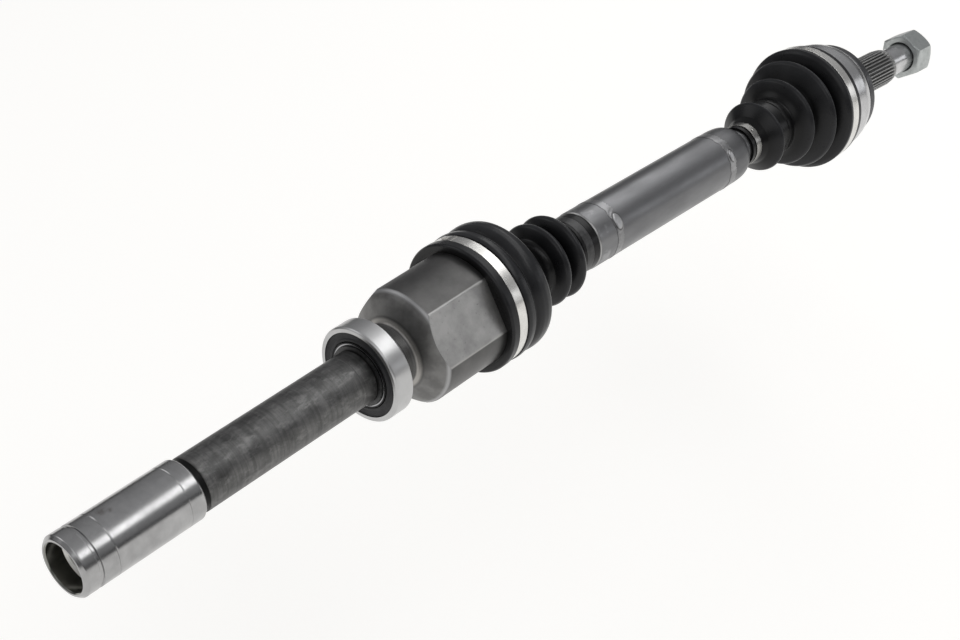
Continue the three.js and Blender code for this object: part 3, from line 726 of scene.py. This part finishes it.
outer_bend = bent(shaft_axis, hub_axis, JOINT_SPAN, 334, 396)
neck = boot_piece("outer_boot_neck", [
    (319.5, 14.9, 0.3), (323, 14.9, 0.2), (323.3, 14.2, 0.1), (329.8, 14.2, 0.1), (330.2, 15.3, 0.3),
    (334.5, 17.6), (340.6, 25.2), (342.4, 26), (344, 25), (345.6, 21.8, 1.5), (348, 20.9, 1.2),
    (356, 20.9, 0.3), (356.4, 21.4, 0.3), (359, 21.4, 0.3), (359.4, 20.9, 0.3), (363.5, 20.9, 1.2),
    (366, 24.3, 1.5), (369, 31.4), (370.8, 32.7), (372.4, 32.1), (374.4, 27, 1.5),
    (376.6, 24.6), (378.6, 24.5, 1.2), (380.4, 27, 1.5), (385.6, 39.2), (387.8, 40.4),
    (389.2, 39.9, 0.5), (390.2, 38.3, 0),
], [
    (390.2, 35.8, 0), (387.6, 38), (378, 22.7), (371, 30), (364, 18.8), (348, 18.8), (342.4, 23.4),
    (334, 15), (331, 13.4), (319.5, 13.4),
], outer_bend)
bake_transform(neck)
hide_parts("outer_boot")
mouth = boot_piece("outer_boot_mouth", [
    (390.2, 38.3, 0), (392.2, 33.4, 1.5), (394.2, 32.2), (396, 33.6, 1.2), (399.2, 43), (401.2, 45.4),
    (404.2, 45.1, 0.4), (404.6, 43.4, 0.2), (412.7, 43.4, 0.2), (412.9, 44.5, 0.3), (416.5, 44.2, 0.5),
], [(416.5, 41.6, 0.3), (400.6, 41.5), (394.4, 30.9), (390.2, 35.8, 0)], outer_bend)
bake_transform(mouth)
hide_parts("outer_boot")


# ---- clamps ----
def clamp(name, axis, start, end, inner, outer, node, body, hook, material=CLAMP):
    """A band with its tongue lapped over it and a pressed hook, at the angle hook in degrees."""
    band = lathe(name, [(start, inner), (start, outer), (end, outer), (end, inner)], axis, material,
                 sides=160, fillet=0.25)
    put(band, body, "clamp_steel", node)
    tongue = arc_band(name + "_tongue", axis, material, start + 0.1, end - 0.1, outer, outer + 0.35,
                      hook - 22, hook + 14, steps=32)
    put(tongue, body, "clamp_steel")
    side = 0.3 * (end - start)
    tab = arc_band(name + "_hook", axis, material, start + side, end - side, outer + 0.3, outer + 1.1,
                   hook + 1, hook + 6, steps=8, edge=0.2)
    put(tab, body, "clamp_steel")


clamp("inboard_large_band", tulip_axis, 27.9, 35.1, 42.1, 43.1, "inboard_large_clamp", "tulip", 62)
swaged = lathe("inboard_small_ring_swaged", [
    (122.95, 17.6), (122.95, 19.75, 0.2), (130.15, 19.85, 0.2), (130.15, 17.6),
], shaft_axis, SPRING, sides=160, fillet=0.2)
put(swaged, "shaft", "spring_steel", "inboard_small_clamp")
clamp("outer_small_band", shaft_axis, 323.6, 329.5, 14.6, 15.4, "outer_small_clamp", "shaft", 118, DULL_CLAMP)
clamp("outer_large_band", hub_axis, -21.1, -13.6, 43.8, 44.6, "outer_large_clamp", "bell", 84)


# ---- shaft ----
TUBE_R = 20.4
inboard = lathe("inboard_bar_turned", [
    (-14, 0), (-14, 10.6, 0.4), (-13, 11.3, 0.3), (-10.9, 11.3, 0.1), (-10.9, 10.3, 0.1),
    (-9.1, 10.3, 0.1), (-9.1, 11.3, 0.1), (9.3, 11.3, 0.1), (9.3, 12.8, 0.3), (136.3, 12.8, 0.5),
    (136.3, 19.6, 0.2), (137.1, TUBE_R, 0.2), (154.7, TUBE_R, 0.2), (154.7, 17.1, 0.1), (162, 17.1, 0.2),
    (162, 0),
], shaft_axis, FLANGE, sides=128, closed=False)
put(inboard, "shaft", "tube_steel", "inboard_bar")
tube = lathe("shaft_tube_drawn", [
    (155, 17.4), (155, TUBE_R), (287, TUBE_R), (287, 17.4),
], shaft_axis, TUBE, sides=160, fillet=0.1)
put(tube, "shaft", "tube_steel", "shaft_tube")
outboard = lathe("outboard_bar_turned", [
    (280, 0), (280, 17.1, 0.2), (287.3, 17.1, 0.1), (287.3, TUBE_R, 0.2), (300, 20.3, 3), (306, 19.7, 2),
    (310, 18.2, 1.2), (311.4, 15, 1), (315, 13.1, 1.5), (379, 13.1, 0.8), (382, 11.5, 0.8),
    (414.7, 11.5, 0.1), (414.7, 11.3, 0.1), (437.3, 11.3, 0.1), (437.3, 10.3, 0.1), (439.1, 10.3, 0.1),
    (439.1, 11.3, 0.1), (440.5, 10.7, 0.3), (440.5, 0),
], shaft_axis, ENDCAP, sides=128, closed=False)
put(outboard, "shaft", "tube_steel", "outboard_bar")


def weld(name, start, end, scallop, crater, seed):
    """A flat weld bead that thins out at one side. scallop is the station of its ragged border, and
    crater the lump where the arc stopped: station, angle in degrees, half length and half width."""
    dice = random.Random(seed)
    waves = [(dice.randint(3, 21), dice.uniform(0, 6.28), dice.uniform(0.08, 0.32)) for _ in range(7)]
    inward = 1 if scallop > (start + end) / 2 else -1
    station, angle, long, wide = crater

    def measures(x, turn):
        ragged = sum(size * np.sin(count * turn + phase) for count, phase, size in waves)
        inside = (scallop + ragged - x) * inward
        around = TUBE_R * nearest(turn, [math.radians(angle)])
        return inside, np.hypot((x - station) / long, around / wide)

    def shape(x, r, turn, row):
        inside, gap = measures(x, turn)
        bead = np.clip(inside / 0.5, 0, 1) * np.clip(1.2 - inside / 9, 0, 1)
        ripple = 0.035 * np.sin(60 * turn + 1.3 * x) * bead
        lump = 0.85 * np.exp(-gap ** 6) * (1 - 0.35 * np.exp(-(gap / 0.5) ** 2))
        high = 20.25 + 0.35 * bead + ripple + lump
        return np.where(r > 20, high, r)

    def marks(x, r, turn):
        inside, gap = measures(x, turn)
        seam = np.exp(-((inside - 0.1) / 0.6) ** 2)
        outline = np.exp(-((gap - 0.98) / 0.10) ** 2)
        dark = np.clip(seam * (gap > 1) + outline, 0, 1) * 0.85
        return {"seam": dark, "lump": np.clip((0.95 - gap) * 8, 0, 1)}

    piece = lathe(name, [(start, 19.5), (start, 20.3), (end, 20.3), (end, 19.5)], shaft_axis, WELD,
                  sides=320, fillet=0, fine=(start - 1, end + 1, 0.35), shape=shape, marks=marks, sharp=80)
    return put(piece, "shaft", "tube_steel")


weld("inboard_weld", 146, 163.5, 153.4, (158, 144, 3.8, 6.2), 5)
weld("outboard_weld", 280, 292, 282.6, (287, 148, 2.6, 4.6), 11)


# ---- bell, spline and pin ----
TEETH = 32
TOOTH_MIDDLE = 13.45
TOOTH_HALF = 0.75
HOLLOW = 31
BELL_FLOOR = 22.5
BALL_CIRCLE = 27
BALL_TRACK = 10.1
BELL_OUT = [
    (-25, 40.4, 0.2), (-24.3, 41, 0.3), (-10.8, 41, 0.2), (-10.4, 39.8, 0.2), (-7, 39.8, 0.2),
    (-6.6, 41.3, 0.3), (5, 41.3, 1.0), (10, 40.2, 1.0), (12.5, 38.9, 1.0), (15.6, 36.4, 0.3),
    (15.8, 34.5, 0.1), (24, 34.5, 0.6), (32, 22, 1.5), (33.5, 20, 0.5), (38, 20, 0.3), (38, 12.2, 0.2),
]
deep_end = math.asin(BELL_FLOOR / HOLLOW)
open_end = math.asin(-13 / HOLLOW)
BELL_IN = [(BELL_FLOOR, 0), (BELL_FLOOR, 21.3, 0.5)]
for k in range(1, 9):
    angle = deep_end + (open_end - deep_end) * k / 8
    BELL_IN.append((HOLLOW * math.sin(angle), HOLLOW * math.cos(angle), 0.3))
BELL_IN.append((-25, 36.9, 0.3))
hollow_rows = len(rounded(BELL_IN + BELL_OUT[:1], 0.3, False)) - 3


def bell_shape(x, r, turn, row):
    """Six ball tracks cut into the hollow."""
    deep = r.copy()
    for i in range(6):
        away = nearest(turn, [math.radians(30 + 60 * i)])
        for trial in np.arange(20, 37.2, 0.1):
            along = np.hypot(x, trial * np.cos(away))
            near = np.hypot(along - BALL_CIRCLE, trial * np.sin(away)) < BALL_TRACK
            deep = np.where(near & (away < 1) & (trial > deep), trial, deep)
    return np.where((row < hollow_rows) & (r > 5) & (x < BELL_FLOOR - 0.2), deep, r)


bell = lathe("bell_ground", BELL_IN + BELL_OUT + [(38, 0)], hub_axis, BELL, sides=192, closed=False,
             shape=bell_shape)
put(bell, "bell", "ground_steel", "bell_and_spline")


def tooth_height(x, turn):
    """The teeth round the spline, from -1 to 1, and how far they have run out, from 1 to 0."""
    wave = np.clip(np.cos(TEETH * turn) * 1.9, -1, 1)
    run_out = np.clip((93.5 - x) / 3.0, 0, 1) * np.clip((x - 39) / 3.0 + 0.3, 0, 1)
    return wave, run_out


def spline_shape(x, r, turn, row):
    wave, run_out = tooth_height(x, turn)
    toothed = (r > 13.0) & (x > 38.5) & (x < 95.5)
    return np.where(toothed, TOOTH_MIDDLE + TOOTH_HALF * wave * run_out, r)


def spline_marks(x, r, turn):
    wave, run_out = tooth_height(x, turn)
    toothed = (x > 38.5) & (x < 95)
    return {"depth": np.where(toothed, np.clip(0.5 - 0.5 * wave, 0, 1) * run_out * 0.85, 0)}


spline = lathe("hub_spline", [
    (37.6, 0), (37.6, 14.2, 0.1), (92, 14.2, 0.5), (95, 14.0, 1.0), (96.2, 12.2, 0.4), (96.4, 0),
], hub_axis, SPLINE, sides=TEETH * 16, closed=False, fine=(38, 96, 2.5), shape=spline_shape,
    marks=spline_marks, sharp=30)
put(spline, "bell", "ground_steel", "bell_and_spline")
pin = lathe("hub_pin", [(96, 0), (96, 11, 0.2), (147, 11, 0.5), (148, 10, 0.4), (148, 0)], hub_axis, BELL,
            sides=96, closed=False)
put(pin, "bell", "ground_steel", "bell_and_spline")
dust = lathe("dust_ring_pressed", [
    (16.1, 34.8, 0.1), (16.1, 36.2, 0.4), (17, 36.6, 0.4), (22.4, 36.6, 0.8), (23.6, 35.6, 0.4),
    (23.6, 34.8, 0.1),
], hub_axis, RINGBLACK, sides=160)
put(dust, "bell", "seal_rubber", "dust_ring")


# ---- hub nut ----
def nut_shape(x, r, turn, row):
    away = nearest(turn, [math.radians(60 * i) for i in range(6)])
    hexagon = 16 / np.cos(away)
    return np.where(r > 12.5, soft_min(hexagon, r, 0.35), r)


nut = lathe("hub_nut_plated", [
    (124.5, 12.2, 0.2), (124.5, 15.6, 0.2), (125.7, 18.6, 0.5), (142.6, 18.6, 1.5), (145.2, 15.8, 1.5),
    (146, 13.2, 0.6), (146, 12.0, 0.3), (144.9, 11.3, 0.2), (125.6, 11.3, 0.2),
], hub_axis, ZINC, sides=288, fine=(124, 147, 0.7), shape=nut_shape, sharp=32)
put(nut, "nut", "plated_steel", "hub_nut")

# ---- pieces that stay as the solids are ----
HIDDEN = [
    (["bearing_ball_cage"], NYLON),
    (["tripod_spider"], INNER_FORGED),
    (["spider_circlip", "race_circlip"], INNER_SPRING),
    (["flat_filler_bush"], BUSH),
    (["inner_race", "ball_cage"], INNER),
    ([f"bearing_ball_{i}" for i in range(1, 12)], INNER),
    ([f"joint_ball_{i}" for i in range(1, 7)], INNER),
    ([f"tripod_roller_{i}" for i in range(1, 4)], INNER),
    ([f"tripod_roller_race_{i}" for i in range(1, 4)], INNER),
]
for names, material in HIDDEN:
    for name in names:
        slots = frame["nodes"][name].data.materials
        slots.clear()
        slots.append(material)


# ---- floor, light and camera ----
def floor_material():
    material = bpy.data.materials.new("pale_floor")
    material.use_nodes = True
    shader = material.node_tree.nodes["Principled BSDF"]
    shader.inputs["Base Color"].default_value = (0.50, 0.498, 0.49, 1)
    shader.inputs["Roughness"].default_value = 0.8
    shader.inputs["Specular IOR Level"].default_value = 0.1
    shader.inputs["Emission Color"].default_value = (1.0, 0.99, 0.97, 1)
    shader.inputs["Emission Strength"].default_value = 0.66
    return material


HALF_FLOOR = 12.0
# The floor is far enough down for the shaft to swing down to its limit above it.
FLOOR_DROP = 0.16
corners = [(HALF_FLOOR * i, HALF_FLOOR * j, 0) for i, j in ((-1, -1), (1, -1), (1, 1), (-1, 1))]
floor_mesh = bpy.data.meshes.new("floor")
floor_mesh.from_pydata(corners, [], [(0, 1, 2, 3)])
floor_mesh.materials.append(floor_material())
floor = bpy.data.objects.new("floor", floor_mesh)
floor.location.z = cad_low.z - FLOOR_DROP
bpy.context.scene.collection.objects.link(floor)

world = bpy.data.worlds.new("studio")
bpy.context.scene.world = world
world.use_nodes = True
nodes = world.node_tree.nodes
links = world.node_tree.links
direction = nodes.new("ShaderNodeTexCoord")
split = nodes.new("ShaderNodeSeparateXYZ")
shade = nodes.new("ShaderNodeValToRGB")
links.new(direction.outputs["Generated"], split.inputs[0])
links.new(split.outputs[2], shade.inputs[0])
# The sky is dark at the horizon and pale overhead.
ramp = shade.color_ramp.elements
ramp[0].position = 0.0
ramp[0].color = (0.03, 0.03, 0.031, 1)
ramp[1].position = 1.0
ramp[1].color = (0.46, 0.462, 0.47, 1)
ramp.new(0.08).color = (0.05, 0.05, 0.052, 1)
ramp.new(0.26).color = (0.27, 0.271, 0.276, 1)
links.new(shade.outputs[0], nodes["Background"].inputs["Color"])


def softbox(name, place, target, width, height, radiance, color=(1, 1, 1)):
    """A rectangle of even brightness: its power follows from its area."""
    data = bpy.data.lights.new(name, "AREA")
    data.shape = "RECTANGLE"
    data.size = width
    data.size_y = height
    data.energy = radiance * math.pi * width * height
    data.color = color
    lamp = bpy.data.objects.new(name, data)
    lamp.location = place
    lamp.rotation_euler = (Vector(target) - Vector(place)).to_track_quat("-Z", "Y").to_euler()
    bpy.context.scene.collection.objects.link(lamp)


softbox("overhead", (1.3, -0.35, 1.9), (0.6, 0, 0), 4.4, 0.7, 2.3)
softbox("camera_side", (2.4, -1.9, 0.62), (0.6, 0, 0.1), 2.1, 0.7, 1.2, (0.97, 0.98, 1.0))
softbox("dome_side", (-1.2, 1.5, 1.5), (-0.2, 0, 0.05), 1.3, 1.0, 1.0)
softbox("near_end", (-1.9, -1.0, 1.5), (0, 0, 0.05), 1.8, 1.4, 0.9)

CAMERA_PLACE = (-0.8375, -0.6494, 0.6084)
AZIMUTH = math.radians(-48.43)
ELEVATION = math.radians(30.69)
ROLL = math.radians(-0.91)
lens = bpy.data.cameras.new("camera")
lens.sensor_width = 36
lens.lens = 68.6
lens.clip_end = 50
camera = bpy.data.objects.new("camera", lens)
heading = Vector((-math.sin(AZIMUTH), math.cos(AZIMUTH), 0))
forward = heading * math.cos(ELEVATION) - Vector((0, 0, math.sin(ELEVATION)))
level = forward.cross(Vector((0, 0, 1))).normalized()
upward = level.cross(forward)
right = level * math.cos(ROLL) + upward * math.sin(ROLL)
top = upward * math.cos(ROLL) - level * math.sin(ROLL)
rotation = Matrix((right, top, -forward)).transposed()
camera.matrix_world = Matrix.Translation(CAMERA_PLACE) @ rotation.to_4x4()
bpy.context.scene.collection.objects.link(camera)
bpy.context.scene.camera = camera
bpy.context.scene.view_settings.view_transform = "Standard"
